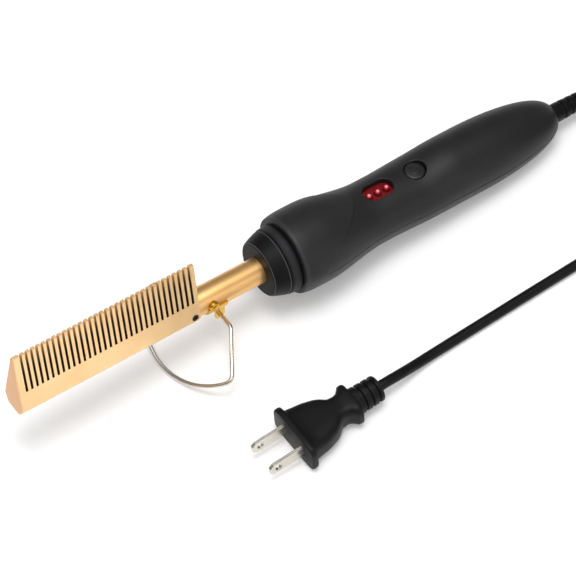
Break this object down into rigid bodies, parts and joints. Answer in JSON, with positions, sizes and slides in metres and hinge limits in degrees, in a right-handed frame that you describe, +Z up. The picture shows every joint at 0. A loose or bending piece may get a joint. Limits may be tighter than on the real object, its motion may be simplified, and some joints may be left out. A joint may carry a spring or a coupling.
{
  "type": "electric hot comb",
  "caption": "Electric hot comb with a gold slotted head, a wire stand under its neck tube, a black handle with a power button and lamp window, and a coiled mains cord with a plug.",
  "frame": {"origin": "on the surface the comb rests on, under the middle of the comb without its cord and plug", "axes": "+Z up, +X from the head towards the handle's tail, teeth up"},
  "size_m": [0.3708, 0.11, 0.0637],
  "materials": {
    "head_gold": "satin plated",
    "tube_gold": "polished plated",
    "steel": "bright drawn",
    "black_plastic": "fine satin",
    "cover_plastic": "fine satin",
    "collar_resin": "satin",
    "lens": "clear red",
    "lamp": "clear red",
    "board": "lacquered",
    "mica": "plain",
    "copper": "bare",
    "component": "moulded",
    "cord": "soft PVC",
    "blade": "nickel plated brass"
  },
  "bodies": {
    "comb": {"comb_head": "head_gold", "head_grub_screw": "steel", "cartridge_heater": "steel", "heater_sleeve": "mica", "heater_leads": "mica", "thermal_fuse": "steel", "neck_tube": "tube_gold", "tube_ring": "steel", "stand_bracket": "tube_gold", "bracket_rivets": "tube_gold", "nose_collar": "collar_resin", "front_cover": "cover_plastic", "upper_shell": "black_plastic", "lower_shell": "black_plastic", "shell_screws": "steel", "window_lens": "lens", "indicator_lamps": "lamp", "button_switch": "component", "circuit_board": "board", "board_screws": "steel", "lead_terminals": "copper", "triac": "black_plastic", "capacitor": "component", "mains_wires": "cord", "cord_clamp": "black_plastic", "clamp_screws": "steel", "strain_relief": "cord", "cord_entry": "cord", "cord_tail": "cord", "cord_coil": "cord", "coil_tie": "cord", "cord_lead": "cord", "plug_body": "cord", "plug_blades": "blade"},
    "stand": {"stand_wire": "steel"},
    "button": {"power_button": "black_plastic"}
  },
  "joints": [
    {"name": "stand_pivot", "type": "hinge", "parent": "comb", "child": "stand", "pos_m": [-0.05492, 0, 0.01833], "axis": [0, 1, 0], "range_deg": [-128, 40]},
    {"name": "power_press", "type": "slide", "parent": "comb", "child": "button", "axis": [-0.0967, 0, -0.9953], "range_m": [0, 0.0007], "stiffness_N_per_m": 600, "springref_m": -0.001}
  ]
}
